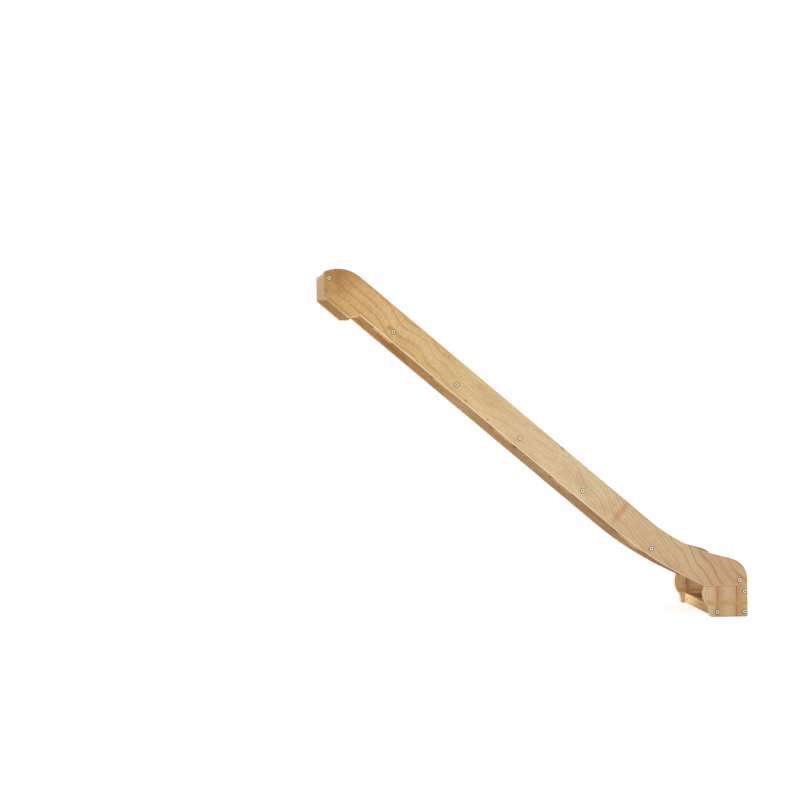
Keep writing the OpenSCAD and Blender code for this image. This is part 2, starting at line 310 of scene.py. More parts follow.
END_GRAIN = srgb(160, 118, 76)
KNOT = srgb(128, 80, 44)
KNOT_RING = srgb(190, 134, 82)
BRANCH = srgb(188, 134, 86)
GOLD = srgb(206, 170, 100)
RIB = srgb(150, 106, 50)
BAND = srgb(184, 147, 84)
STAVE_EDGE = srgb(164, 98, 34)
SEAM = srgb(156, 108, 60)
# Paler tone of some staves, and the colour of the painted highlight on faces where light falls
PALE_TONE_AND_HIGHLIGHT = srgb(250, 234, 192)
# Painted shadow: the dark ring round each bolt head
BOLT_SHADOW_RING = srgb(120, 84, 50)

# Tones of the calm wood, as (place along the grain in metres, colour). Some also hold painted shade,
# as said at each.
SIDE_TONES = [
    # The first stop darkens the upper end, painted shade where the bed's post shaded the board
    (-1.42, srgb(171, 126, 73)), (-1.33, srgb(206, 167, 109)), (-1.20, srgb(214, 181, 125)),
    (-0.95, srgb(215, 185, 131)), (-0.55, srgb(215, 190, 146)), (-0.20, srgb(213, 193, 154)),
    (0.05, srgb(201, 174, 132)), (0.25, srgb(202, 178, 139)), (0.45, srgb(191, 161, 122)),
]
# The far board is darker than the near one: painted shade from the bed over its inner face, darkest
# at the exit end
FAR_SHADED_TONES = [
    (-1.42, srgb(214, 168, 108)), (-1.22, srgb(220, 176, 117)), (-1.14, srgb(207, 167, 112)),
    (-1.05, srgb(200, 162, 108)), (-0.70, srgb(219, 190, 144)), (-0.20, srgb(213, 185, 144)),
    (0.20, srgb(206, 177, 140)), (0.45, srgb(174, 143, 108)),
]
RAIL_TONES = [(0.0, srgb(196, 160, 114))]
BATTEN_TONES = [(0.0, srgb(223, 177, 119))]
HANGER_TONES = [(0.0, srgb(206, 166, 116))]
RISER_TONES = [(0.0, srgb(224, 190, 146))]
STRETCHER_TONES = [(0.0, srgb(229, 202, 152))]
FOOT_TONES = [(0.0, srgb(191, 162, 122))]
FAR_FOOT_TONES = [(0.0, srgb(214, 184, 146))]

# Tones of the growth lines
SIDE_LINE = srgb(166, 108, 62)
FAR_LINE = srgb(158, 106, 62)
RAIL_LINE = srgb(170, 120, 78)
FOOT_LINE = srgb(172, 124, 78)

# Places where the side boards' growth lines step down, or up where the drop is below 0:
# place along, drop, length of the step
STEPS = [
    (-1.165, 0.036, 0.13), (-1.065, -0.012, 0.07), (-0.975, 0.026, 0.07), (-0.860, 0.010, 0.08),
    (-0.660, -0.035, 0.20), (-0.470, -0.030, 0.16), (-0.345, -0.018, 0.07), (-0.225, 0.034, 0.09),
    (-0.070, 0.050, 0.12), (0.060, 0.020, 0.08), (0.170, 0.026, 0.12), (0.300, 0.036, 0.10),
    (0.420, 0.034, 0.12),
]
# Knots: place along, place across, radius
NEAR_KNOTS = [
    (-1.147, 0.486, 0.0030), (-0.904, 0.548, 0.0013), (-0.747, 0.461, 0.0020),
    (-0.637, 0.459, 0.0016), (-0.054, 0.521, 0.0013), (-0.345, 0.561, 0.0030),
]
FAR_KNOTS = [(-0.98, 0.53, 0.003), (-0.42, 0.478, 0.0022), (0.22, 0.55, 0.0025)]
# Branches that lie in the face, nearly square to the grain: place along, from and to across,
# half width
NEAR_BRANCHES = [(-0.015, 0.448, 0.590, 0.0085)]
BRANCH_LEAN = -0.02

# The bold growth lines lie before the first place along the grain and after the second
BOLD_ENDS = (-0.95, 0.16)
BOLD_FADE = 0.12

# The near board's upper end, as (from, to) of each fade along or across the grain
HEAD_GOLD_ALONG = (-0.95, -0.6)
HEAD_GOLD_ACROSS = (0.462, 0.505)
HEAD_RIBS_ALONG = (-1.385, -1.345)
HEAD_RIBS_FOOT = (0.425, 0.45)
HEAD_RIBS_TOP = (0.475, 0.505)
HEAD_RIBS_TURN = 620.0          # radians per metre
HEAD_FLAME_ALONG = (-1.15, -0.8)
# Fade of the painted highlight towards the upper end
HEAD_HIGHLIGHT_ALONG = (-1.33, -1.28)
CALM_FLAME = 0.34

# The foot panels' glued staves
STAVE_WIDTH = 0.0766
STAVE_JOINT = 0.046             # height of the level joint
BAND_HEIGHT = 0.030             # of the gold band over the joint
JOINT_HALF = 0.0012
PANEL_TOP = 0.118               # height of the seam under the side board
PANEL_TOP_SEAM = 0.0035

BOLT_HEAD_R = 0.0085
# Width of the painted shadow ring round each bolt head
BOLT_SHADOW_WIDTH = 0.0030


def grain_frame(tree, turn):
    """The place in the grain's own frame, which has X along the grain, and how far along it is."""
    where = put(tree, "ShaderNodeTexCoord").outputs["Object"]
    place = put(tree, "ShaderNodeMapping", {"Vector": where, "Rotation": turn}).outputs[0]
    return place, split(tree, place)[0]


def ramp(tree, along, tones):
    """Blends colours given at places along the grain."""
    low, high = tones[0][0], tones[-1][0]
    if low == high:
        return tones[0][1]
    share = calc(tree, "DIVIDE", calc(tree, "SUBTRACT", along, low), high - low, clamp=True)
    made = put(tree, "ShaderNodeValToRGB", {"Fac": share})
    stops = made.color_ramp.elements
    while len(stops) < len(tones):
        stops.new(0.5)
    for stop, (place, colour) in zip(stops, tones):
        stop.position = (place - low) / (high - low)
        stop.color = colour
    return made.outputs["Color"]


def growth_level(tree, place, sway, steps, seed):
    """The field whose contours are the growth lines: height across the grain, bent by noise."""
    along, depth, across = split(tree, place)
    slow = stretched_noise(tree, place, (3.0, 5.0, 7.0), 1.5, 0.45, (seed, seed * 0.7, seed * 1.3))
    quick = stretched_noise(tree, place, (16.0, 30.0, 22.0), 1.5, shift=(seed * 2.1, 0, seed))
    level = calc(tree, "MULTIPLY_ADD", depth, 0.6, across)
    level = calc(tree, "MULTIPLY_ADD", slow, sway * 2, level)
    level = calc(tree, "MULTIPLY_ADD", quick, sway * 0.45, level)
    for at, drop, length in steps:
        fallen = remap(tree, along, at - length / 2, at + length / 2, 0.0, drop)
        level = calc(tree, "ADD", level, fallen)
    return level


def growth_lines(tree, level, fade_place, spacing, seed):
    """Strength, from 0 to 1, of thin dark lines where level passes each multiple of spacing."""
    uneven_place = combined(tree, calc(tree, "DIVIDE", level, spacing * 2.7), seed, 0.0)
    uneven = noise(tree, uneven_place, 1.0, 1.0)
    step = calc(tree, "MULTIPLY_ADD", uneven, 1.3, calc(tree, "DIVIDE", level, spacing))
    turn = calc(tree, "FRACT", step)
    rise = calc(tree, "POWER", remap(tree, turn, 0.50, 0.86), 2.0)
    fall = remap(tree, turn, 0.87, 0.97, 1.0, 0.0)
    strong = remap(tree, chance_of(tree, calc(tree, "FLOOR", step), seed), 0.0, 1.0, 0.5, 1.0)
    faded = remap(tree, noise(tree, fade_place, 1.0, 1.0), -0.2, 0.1, 0.4, 1.0)
    return product(tree, rise, fall, strong, faded)


def line_figure(tree, place, along, level, spacing, seed, bold_ends):
    """Bold growth lines at a board's ends, medium dashes between them, and fine ones all over."""
    fade_place = stretched(tree, place, (5.0, 16.0, 16.0), (seed, 0, 0))
    lines = growth_lines(tree, level, fade_place, spacing, seed)
    fine = growth_lines(tree, calc(tree, "ADD", level, 0.31), fade_place, spacing * 0.3, seed + 9)
    if bold_ends:
        first, second = bold_ends
        early = remap(tree, along, first, first + BOLD_FADE, 0.8, 0.15)
        late = remap(tree, along, second, second + BOLD_FADE, 0.15, 1.0)
        ends = calc(tree, "MAXIMUM", early, late)
        broken = stretched_noise(tree, place, (30.0, 14.0, 50.0), 1.0, shift=(0, seed, 0))
        gaps = remap(tree, along, second - 0.5, second - 0.3, 0.25, 0.8)
        dashes = remap(tree, broken, -0.16, 0.1, gaps, 1.0)
        beside_bold = remap(tree, ends, 0.15, 1.0, 1.0, 0.5)
        lower_half = remap(tree, along, second - 0.45, second - 0.15, 0.7, 1.2)
        medium_level = calc(tree, "ADD", level, 0.17)
        medium = growth_lines(tree, medium_level, fade_place, spacing * 0.42, seed + 4)
        medium = product(tree, medium, dashes, beside_bold, lower_half)
        lines = calc(tree, "MAXIMUM", calc(tree, "MULTIPLY", lines, ends), medium)
    return calc(tree, "MAXIMUM", lines, calc(tree, "MULTIPLY", fine, 0.4))


def fibre_shade(tree, place, streaks, seed, flame_share):
    """Light and dark of the fibres, the flame square to them and the short dark pores, about 0."""
    flame = stretched_noise(tree, place, (170.0, 30.0, 42.0), 2.0, shift=(0, 0, seed))
    flecks = stretched_noise(tree, place, (110.0, 620.0, 620.0), 1.0)
    fibres = stretched_noise(tree, place, (40.0, 1900.0, 1900.0), 2.0, shift=(seed, 0, 0))
    dots = stretched_noise(tree, place, (260.0, 2600.0, 2600.0), 0.0)
    pores = remap(tree, dots, 0.16, 0.26, 0.0, -0.10)
    shade = calc(tree, "MULTIPLY_ADD", streaks, 0.36, pores)
    for part, share in ((flecks, 0.16), (flame, flame_share), (fibres, 0.20)):
        shade = calc(tree, "MULTIPLY_ADD", part, share, shade)
    return shade


def add_knots(tree, colour, place, knots):
    """Small dark knots, each with a browner swirl round it."""
    along, _, across = split(tree, place)
    rough = noise(tree, place, 300.0, 4.0, 0.65)
    for at, height, radius in knots:
        dx = calc(tree, "MULTIPLY", calc(tree, "SUBTRACT", along, at), 0.6)
        dz = calc(tree, "SUBTRACT", across, height)
        squares = calc(tree, "MULTIPLY_ADD", dx, dx, calc(tree, "MULTIPLY", dz, dz))
        away = calc(tree, "MULTIPLY_ADD", rough, radius * 1.4, calc(tree, "SQRT", squares))
        ring = remap(tree, away, radius * 1.1, radius * 4.0, 0.65, 0.0)
        core = remap(tree, away, radius * 0.4, radius * 1.3, 0.85, 0.0)
        colour = blend_colour(tree, ring, colour, KNOT_RING)
        colour = blend_colour(tree, core, colour, KNOT)
    return colour


def add_branches(tree, colour, place, branches):
    """Soft red-brown bands across the grain, where a branch lies in the face."""
    along, _, across = split(tree, place)
    rough = stretched_noise(tree, place, (110.0, 45.0, 36.0), 3.0, 0.6)
    patchy = remap(tree, rough, -0.3, 0.2, 0.45, 1.0)
    for at, start, end, half_width in branches:
        lean = calc(tree, "MULTIPLY", calc(tree, "SUBTRACT", across, start), BRANCH_LEAN)
        off = calc(tree, "SUBTRACT", calc(tree, "SUBTRACT", along, at), lean)
        off = calc(tree, "ABSOLUTE", calc(tree, "MULTIPLY_ADD", rough, half_width * 1.6, off))
        body = remap(tree, off, 0.0, half_width * 2.2, 1.0, 0.0)
        low = remap(tree, across, start, start + 0.04)
        high = remap(tree, across, end - 0.05, end, 1.0, 0.0)
        colour = blend_colour(tree, product(tree, body, low, high, patchy), colour, BRANCH)
    return colour


def add_head_figure(tree, colour, place):
    """The upper end's golden cloud along its lower edge, and the short ribs behind it."""
    along, _, across = split(tree, place)
    low_edge = remap(tree, across, *HEAD_GOLD_ACROSS, 1.0, 0.0)
    upper = remap(tree, along, *HEAD_GOLD_ALONG, 1.0, 0.0)
    cloud = stretched_noise(tree, place, (7.0, 8.0, 20.0), 2.0, shift=(0, 0, 3.0))
    golden = product(tree, low_edge, upper, remap(tree, cloud, -0.2, 0.15), 0.62)
    colour = blend_colour(tree, golden, colour, GOLD)
    wander = calc(tree, "MULTIPLY", noise(tree, place, 45.0), 6.0)
    wave = calc(tree, "SINE", calc(tree, "MULTIPLY_ADD", along, HEAD_RIBS_TURN, wander))
    ribs = remap(tree, wave, -0.2, 1.0, 0.0, 0.62)
    behind = remap(tree, along, *HEAD_RIBS_ALONG, 1.0, 0.0)
    over = remap(tree, across, *HEAD_RIBS_FOOT)
    under = remap(tree, across, *HEAD_RIBS_TOP, 1.0, 0.0)
    return blend_colour(tree, product(tree, behind, under, over, ribs), colour, RIB)


def stave_shares(tree, place, seed):
    """Glued upright staves, as four shares.

    They are each stave's random number, its dark edge, the gold band over the joint, and the seams.
    """
    along, _, across = split(tree, place)
    stave = calc(tree, "DIVIDE", across, STAVE_WIDTH)
    chance = chance_of(tree, calc(tree, "FLOOR", stave), seed)
    within = calc(tree, "SUBTRACT", 1.0, calc(tree, "FRACT", stave))
    upright = stretched_noise(tree, place, (9.0, 1.0, 330.0), 2.0, shift=(seed, 0, 0))
    patchy = remap(tree, upright, -0.25, 0.2, 0.5, 1.1, smooth=False)
    wide = remap(tree, within, 0.0, 0.5, 0.66, 0.0, smooth=False)
    sharp = remap(tree, within, 0.0, 0.12, 0.4, 0.0)
    far_side = remap(tree, within, 0.8, 1.0, 0.0, 0.2)
    dark_edge = calc(tree, "ADD", calc(tree, "MULTIPLY_ADD", wide, patchy, sharp), far_side)
    above = calc(tree, "GREATER_THAN", along, STAVE_JOINT)
    faded = remap(tree, along, STAVE_JOINT, STAVE_JOINT + BAND_HEIGHT, 0.9, 0.0)
    off_joint = calc(tree, "ABSOLUTE", calc(tree, "SUBTRACT", along, STAVE_JOINT))
    joint_seam = remap(tree, off_joint, 0.0, JOINT_HALF, 0.6, 0.0)
    top_seam = remap(tree, along, PANEL_TOP - PANEL_TOP_SEAM, PANEL_TOP, 0.0, 0.7)
    seams = calc(tree, "MAXIMUM", joint_seam, top_seam)
    return chance, dark_edge, calc(tree, "MULTIPLY", faded, above), seams


def add_end_grain_and_highlight(tree, colour, turn, highlight_side, highlight_share):
    """End grain where a face is square to the grain, and a painted highlight on faces towards the
    given side.
    """
    facing = put(tree, "ShaderNodeNewGeometry").outputs["Normal"]
    inputs = {"Vector": facing, "Rotation": turn}
    turned = put(tree, "ShaderNodeVectorRotate", inputs, rotation_type="EULER_XYZ").outputs[0]
    end = calc(tree, "ABSOLUTE", split(tree, turned)[0])
    colour = blend_colour(tree, remap(tree, end, 0.75, 1.0, 0.0, 0.4), colour, END_GRAIN)
    if not highlight_side:
        return colour
    inputs = {0: facing, 1: highlight_side}
    looks = put(tree, "ShaderNodeVectorMath", inputs, operation="DOT_PRODUCT").outputs["Value"]
    # Painted highlight: faces that look towards the given side are made lighter, where light falls
    # on them
    return blend_colour(tree, remap(tree, looks, 0.2, 0.55, 0.0, highlight_share), colour, PALE_TONE_AND_HIGHLIGHT)


def add_bolt_shadow_rings(tree, colour, place, turn, bolts):
    """Painted shadow: darker rings round the bolt heads on the face."""
    along, _, across = split(tree, place)
    flat = combined(tree, along, 0.0, across)
    for bolt in bolts:
        spot = Euler(turn).to_matrix() @ bolt
        inputs = {0: flat, 1: (spot.x, 0, spot.z)}
        away = put(tree, "ShaderNodeVectorMath", inputs, operation="DISTANCE").outputs["Value"]
        share = remap(tree, away, BOLT_HEAD_R, BOLT_HEAD_R + BOLT_SHADOW_WIDTH, 0.75, 0.0)
        colour = blend_colour(tree, share, colour, BOLT_SHADOW_RING)
    return colour


def finish_wood(tree, colour, shade, bump_height, gloss=1.0):
    """Lacquered wood: shader, fine roughness changes and a shallow bump along the grain."""
    bump = put(tree, "ShaderNodeBump", {"Height": bump_height, "Strength": 0.3, "Distance": 0.0003})
    shader = put(tree, "ShaderNodeBsdfPrincipled", {
        "Base Color": colour,
        "Roughness": remap(tree, shade, -0.4, 0.4, 0.4, 0.54, smooth=False),
        "Specular IOR Level": 0.28 * gloss,
        "Coat Weight": 0.1 * gloss,
        "Coat Roughness": 0.3,
        "Normal": bump.outputs[0],
    })
    put(tree, "ShaderNodeOutputMaterial", {"Surface": shader.outputs[0]})


def wood(name, turn, tones, line_tone, seed, spacing, sway, steps=(), knots=(), branches=(),
         head=False, staves=False, lines_share=0.85, bold_ends=None, highlight_side=None, highlight_share=0.0,
         gloss=1.0, bolts=()):
    """Solid wood with its grain along X after turn.

    spacing is the distance between bold growth lines, sway how far they wander, and steps bend them
    at places along the grain. head adds the near board's upper end, and staves makes a panel of
    glued upright staves. Faces that look towards the highlight side get a painted highlight, a
    lighter colour where light falls on them. bolts are the middles of the bolts that get a painted
    shadow ring round their heads.
    """
    material, tree = new_material(name)
    place, along = grain_frame(tree, turn)
    own_place = place
    if staves:
        chance, dark_edge, band, seams = stave_shares(tree, place, seed)
        jump = calc(tree, "MULTIPLY", chance, 3.0)
        inputs = {0: place, 1: combined(tree, jump, jump, jump)}
        own_place = put(tree, "ShaderNodeVectorMath", inputs, operation="ADD").outputs[0]
    level = growth_level(tree, own_place, sway, steps, seed)
    lines = line_figure(tree, own_place, along, level, spacing, seed, bold_ends)
    patches = stretched_noise(tree, own_place, (4.0, 12.0, 16.0), 3.0, 0.55, (0, seed, 0))
    streaks = stretched_noise(tree, own_place, (12.0, 360.0, 360.0), 3.0, 0.6, (seed, 0, 0))

    colour = ramp(tree, along, tones)
    colour = blend_colour(tree, remap(tree, patches, -0.22, 0.22, 0.0, 0.30), colour, line_tone)
    flame_share = CALM_FLAME
    if head:
        colour = add_head_figure(tree, colour, place)
        flame_share = remap(tree, along, *HEAD_FLAME_ALONG, 0.62, CALM_FLAME)
        # Less painted highlight at the upper end
        highlight_share = remap(tree, along, *HEAD_HIGHLIGHT_ALONG, 0.2, highlight_share)
    if staves:
        colour = blend_colour(tree, calc(tree, "MULTIPLY", chance, 0.16), colour, PALE_TONE_AND_HIGHLIGHT)
        colour = blend_colour(tree, dark_edge, colour, STAVE_EDGE)
        colour = blend_colour(tree, band, colour, BAND)
        colour = blend_colour(tree, seams, colour, SEAM)
    colour = blend_colour(tree, calc(tree, "MULTIPLY", lines, lines_share), colour, line_tone)
    colour = shaded(tree, colour, fibre_shade(tree, own_place, streaks, seed, flame_share))
    colour = add_branches(tree, colour, place, branches)
    colour = add_knots(tree, colour, place, knots)
    colour = add_end_grain_and_highlight(tree, colour, turn, highlight_side, highlight_share)
    # Painted shadow round the bolt heads
    colour = add_bolt_shadow_rings(tree, colour, place, turn, bolts)
    finish_wood(tree, colour, streaks, calc(tree, "MULTIPLY_ADD", lines, -0.4, streaks), gloss)
    return material


# ---------------------------------------------------------------- plywood and metal

VENEER = srgb(220, 192, 150)
VENEER_DARK = srgb(208, 174, 128)
VENEER_LINE = srgb(186, 138, 96)
PLY_SIDE = srgb(226, 198, 152)
PLY_END = srgb(184, 142, 94)
GLUE = srgb(128, 88, 52)
# Near black: painted shade in the bolts' sockets and on their chamfers, and grime
SHADE_AND_GRIME = srgb(34, 30, 18)

PLIES = 5.0
SCRATCHES = 0.12
SHADE_AND_GRIME_ROUGHNESS = 0.9


def ply_edge(tree, run, side, ply):
    """The plywood's edge: every other veneer is end grain, with dark glue lines between them."""
    through = calc(tree, "ADD", calc(tree, "DIVIDE", ply, BED_T), 0.5)
    layer = calc(tree, "MULTIPLY", through, PLIES)
    odd = calc(tree, "FLOORED_MODULO", calc(tree, "FLOOR", layer), 2.0)
    within = calc(tree, "FRACT", layer)
    below, above = remap(tree, within, 0.0, 0.1, 1.0, 0.0), remap(tree, within, 0.9, 1.0)
    glue = calc(tree, "ADD", below, above)
    grit = stretched_noise(tree, combined(tree, run, side, ply), (600.0, 600.0, 1500.0), 2.0)
    share = calc(tree, "ADD", calc(tree, "MULTIPLY", odd, 0.7), calc(tree, "MULTIPLY", grit, 0.5))
    edge = blend_colour(tree, share, PLY_SIDE, PLY_END)
    return blend_colour(tree, calc(tree, "MULTIPLY", glue, 0.6), edge, GLUE)


def plywood(name):
    """Birch plywood: a calm face veneer, and glued layers where the edge attribute says.

    The run and ply attributes are the distance down the bed and the height through its thickness.
    """
    material, tree = new_material(name)
    run, ply = attribute(tree, "run"), attribute(tree, "ply")
    side = split(tree, put(tree, "ShaderNodeTexCoord").outputs["Object"])[1]
    place = combined(tree, run, side, 0.0)
    wander = stretched_noise(tree, place, (0.9, 4.5, 1.0), 1.5, shift=(3.1, 0, 0))
    wobble = stretched_noise(tree, place, (7.0, 38.0, 1.0), 2.0)
    wander, wobble = calc(tree, "MULTIPLY", wander, 0.22), calc(tree, "MULTIPLY", wobble, 0.008)
    bent = calc(tree, "ADD", wander, wobble)
    fade_place = stretched(tree, place, (2.0, 10.0, 1.0))
    lines = growth_lines(tree, calc(tree, "ADD", side, bent), fade_place, 0.03, 4.0)
    patches = stretched_noise(tree, place, (1.8, 9.0, 1.0), 3.0, shift=(0, 5.0, 0))
    streaks = stretched_noise(tree, place, (12.0, 380.0, 1.0), 3.0, 0.6)
    flame = stretched_noise(tree, place, (160.0, 30.0, 1.0), 2.0)
    colour = blend_colour(tree, remap(tree, patches, -0.22, 0.22), VENEER, VENEER_DARK)
    colour = blend_colour(tree, calc(tree, "MULTIPLY", lines, 0.5), colour, VENEER_LINE)
    shade = calc(tree, "MULTIPLY_ADD", streaks, 0.14, calc(tree, "MULTIPLY", flame, 0.07))
    colour = shaded(tree, colour, shade)
    colour = blend_colour(tree, attribute(tree, "edge"), colour, ply_edge(tree, run, side, ply))
    finish_wood(tree, colour, streaks, streaks)
    return material


def metal(name, tone, dull, roughness):
    """Plated or cast metal with fine scratches, darkened where the mesh's attribute says.

    This is painted shade in the bolts' sockets and on their chamfers, and light grime under the
    heads and on the shanks.
    """
    material, tree = new_material(name)
    where = put(tree, "ShaderNodeTexCoord").outputs["Object"]
    cloud = remap(tree, noise(tree, where, 320.0, 3.0), -0.2, 0.25)
    colour = blend_colour(tree, calc(tree, "MULTIPLY", cloud, 0.5), tone, dull)
    shade_and_grime = attribute(tree, "shade_and_grime")
    # Painted shade in the sockets and on the chamfers, and grime, where the attribute says
    colour = blend_colour(tree, shade_and_grime, colour, SHADE_AND_GRIME)
    fine = stretched_noise(tree, where, (900.0, 900.0, 3200.0), 2.0)
    rough = remap(tree, shade_and_grime, 0.0, 1.0, roughness, SHADE_AND_GRIME_ROUGHNESS)
    bump = put(tree, "ShaderNodeBump", {"Height": fine, "Strength": 0.15, "Distance": 0.0001})
    shader = put(tree, "ShaderNodeBsdfPrincipled", {
        "Base Color": colour,
        "Metallic": remap(tree, shade_and_grime, 0.5, 1.0, 0.75, 0.0),
        "Specular IOR Level": remap(tree, shade_and_grime, 0.5, 1.0, 0.5, 0.0),
        "Roughness": calc(tree, "MULTIPLY_ADD", fine, SCRATCHES, rough),
        "Normal": bump.outputs[0],
    })
    put(tree, "ShaderNodeOutputMaterial", {"Surface": shader.outputs[0]})
    return material


# ---------------------------------------------------------------- piece helpers

WELD = 1e-6
FLAT = math.radians(0.05)       # faces that meet at less than this are joined
SHARP = math.radians(28)        # edges sharper than this are rounded
RIM_SPAN = 0.024                # groups of sharp edges no longer than this are the rims of holes
RIM_R = 0.0004

BOARD_EDGE_R = 0.003
BATTEN_EDGE_R = 0.0015
RAIL_EDGE_R = 0.002
DOWEL_EDGE_R = 0.0008
METAL_EDGE_R = 0.0002
SCREW_EDGE_R = 0.00015


def edge_groups(edges):
    """Edges as groups that share corners."""
    left, groups = set(edges), []
    while left:
        waiting, group = [left.pop()], []
        while waiting:
            edge = waiting.pop()
            group.append(edge)
            for corner in edge.verts:
                for other in corner.link_edges:
                    if other in left:
                        left.remove(other)
                        waiting.append(other)
        groups.append(group)
    return groups


def box_of(points):
    """The lowest and highest corners of the box round some points."""
    low = Vector([min(p[i] for p in points) for i in range(3)])
    high = Vector([max(p[i] for p in points) for i in range(3)])
    return low, high


def span(edges):
    """The longest side of the box round some edges."""
    low, high = box_of([corner.co for edge in edges for corner in edge.verts])
    return max(high[i] - low[i] for i in range(3))


def islands(mesh):
    """The separate solids of a mesh, each as the list of its corners' places."""
    bm = bmesh.new()
    bm.from_mesh(mesh)
    bmesh.ops.remove_doubles(bm, verts=bm.verts, dist=WELD)
    left, solids = set(bm.verts), []
    while left:
        waiting, solid = [left.pop()], []
        while waiting:
            corner = waiting.pop()
            solid.append(corner.co.copy())
            for edge in corner.link_edges:
                other = edge.other_vert(corner)
                if other in left:
                    left.remove(other)
                    waiting.append(other)
        solids.append(solid)
    bm.free()
    return sorted(solids, key=lambda solid: tuple(round(v, 6) for v in box_of(solid)[0]))


def round_edges(bm, edges, radius, segments):
    """Rounds some edges of a mesh."""
    if edges and radius:
        bmesh.ops.bevel(bm, geom=edges, offset=radius, offset_type="OFFSET", segments=segments,
                        profile=0.5, affect="EDGES", clamp_overlap=True)


def to_mesh(bm, name, sharp_degrees):
    """bm as a mesh that is smooth but for edges sharper than sharp_degrees. Frees bm."""
    bmesh.ops.recalc_face_normals(bm, faces=bm.faces)
    mesh = bpy.data.meshes.new(name)
    bm.to_mesh(mesh)
    bm.free()
    mesh.shade_smooth()
    mesh.set_sharp_from_angle(angle=math.radians(sharp_degrees))
    return mesh


def add_piece(node, mesh, material):
    """A shown piece that rides on the slide and stands for a CAD node."""
    mesh.materials.clear()
    mesh.materials.append(material)
    piece = bpy.data.objects.new(node + "_shown", mesh)
    bpy.context.scene.collection.objects.link(piece)
    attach(piece, BODY)
    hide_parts(node)
    return piece


def eased(node, material, edge, rim=RIM_R):
    """A copy of a CAD node with its long edges rounded to edge and the rims of its holes to rim."""
    bm = bmesh.new()
    bm.from_mesh(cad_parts[node].data)
    bmesh.ops.remove_doubles(bm, verts=bm.verts, dist=WELD)
    bmesh.ops.dissolve_limit(bm, angle_limit=FLAT, verts=bm.verts, edges=bm.edges)
    sharp = [e for e in bm.edges if len(e.link_faces) == 2 and e.calc_face_angle(0) > SHARP]
    groups = edge_groups(sharp)
    long_edges = [e for group in groups if span(group) > RIM_SPAN for e in group]
    rims = [e for group in groups if span(group) <= RIM_SPAN for e in group]
    round_edges(bm, long_edges, edge, 3)
    round_edges(bm, [e for e in rims if e.is_valid], rim, 2)
    piece = add_piece(node, to_mesh(bm, node + "_shown", 38), material)
    weighted = piece.modifiers.new("flat_faces", "WEIGHTED_NORMAL")
    weighted.keep_sharp = True
    weighted.weight = 80


# ---------------------------------------------------------------- sliding bed

# Sizes of the CAD node. The batten line runs through the middle of the battens.
BED_T = 0.009
BED_UNDER = 0.0095      # from the batten line up to the bed's underside
BEND_R = 0.536          # radius of the batten line at the bend
EXIT_FLAT = 0.0315
ROLL_R = 0.0415         # radius of the batten line where it rolls over the bed rail
BED_EDGE_R = 0.0012
ROLL_PARTS, SLOPE_PARTS, BEND_PARTS = 24, 60, 60


def bed_stations():
    """Points of the batten line from the top down, as (x, z, tilt below level, distance run)."""
    low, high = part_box("slide_bed")
    line_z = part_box("exit_batten")[0].z + BED_UNDER
    roll_z = high.z - BED_UNDER - BED_T - ROLL_R
    bend = Vector((high.x - EXIT_FLAT, line_z + BEND_R))
    points = []
    for i in range(ROLL_PARTS + 1):
        tilt = SLOPE * i / ROLL_PARTS
        points.append((low.x + ROLL_R * math.sin(tilt), roll_z + ROLL_R * math.cos(tilt), tilt))
    top = Vector(points[-1][:2])
    foot = bend - BEND_R * Vector((math.sin(SLOPE), math.cos(SLOPE)))
    for i in range(1, SLOPE_PARTS):
        x, z = top.lerp(foot, i / SLOPE_PARTS)
        points.append((x, z, SLOPE))
    for i in range(BEND_PARTS + 1):
        tilt = SLOPE * (1 - i / BEND_PARTS)
        points.append((bend.x - BEND_R * math.sin(tilt), bend.y - BEND_R * math.cos(tilt), tilt))
    points.append((high.x, line_z, 0.0))
    stations, before, run = [], points[0], 0.0
    for point in points:
        run += math.dist(point[:2], before[:2])
        stations.append((*point, run))
        before = point
    return stations


def bed_section(half_w):
    """The bed's section, as (y, height above the batten line), with small rounded corners."""
    low, high, r = BED_UNDER, BED_UNDER + BED_T, BED_EDGE_R
    middles = ((half_w - r, high - r, 0), (-half_w + r, high - r, 90),
               (-half_w + r, low + r, 180), (half_w - r, low + r, 270))
    section = []
    for y, height, first in middles:
        for i in range(4):
            a = math.radians(first + 30 * i)
            section.append((y + r * math.cos(a), height + r * math.sin(a)))
    return section


def make_bed(material):
    """Bent plywood as one closed sheet, with the attributes that its material reads."""
    half_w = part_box("slide_bed")[1].y
    section = bed_section(half_w)
    bm = bmesh.new()
    ply = bm.verts.layers.float.new("ply")
    run = bm.verts.layers.float.new("run")
    edge = bm.verts.layers.float.new("edge")
    rings = []
    for x, z, tilt, distance in bed_stations():
        ring = []
        for y, height in section:
            corner = bm.verts.new((x + height * math.sin(tilt), y, z + height * math.cos(tilt)))
            corner[ply] = height - BED_UNDER - BED_T / 2
            corner[run] = distance
            corner[edge] = 1.0 if abs(y) > half_w - BED_EDGE_R * 0.9 else 0.0
            ring.append(corner)
        rings.append(ring)
    for a, b in zip(rings, rings[1:]):
        for j in range(len(section)):
            k = (j + 1) % len(section)
            bm.faces.new((a[j], b[j], b[k], a[k]))
    for ring, flip in ((rings[0], False), (rings[-1], True)):
        # A cap with corners of its own, so that it shows the layers
        cap = []
        for corner in ring:
            twin = bm.verts.new(corner.co)
            twin[ply], twin[run], twin[edge] = corner[ply], corner[run], 1.0
            cap.append(twin)
        bm.faces.new(list(reversed(cap)) if flip else cap)
    add_piece("slide_bed", to_mesh(bm, "slide_bed_shown", 50), material)


# ---------------------------------------------------------------- boards

BOARD_BOLTS = ("batten_bolts", "hanger_side_bolts", "exit_bolts")
FOOT_BOLTS = ("riser_bolts", "stretcher_bolts")
NEAR, FAR = -1, 1


def bolt_middles(side, nodes):
    """Middles of the connector bolts of some nodes on one side."""
    boxes = [box_of(points) for node in nodes for points in islands(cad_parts[node].data)]
    middles = [(low + high) / 2 for low, high in boxes]
    return [middle for middle in middles if middle.y * side > 0]


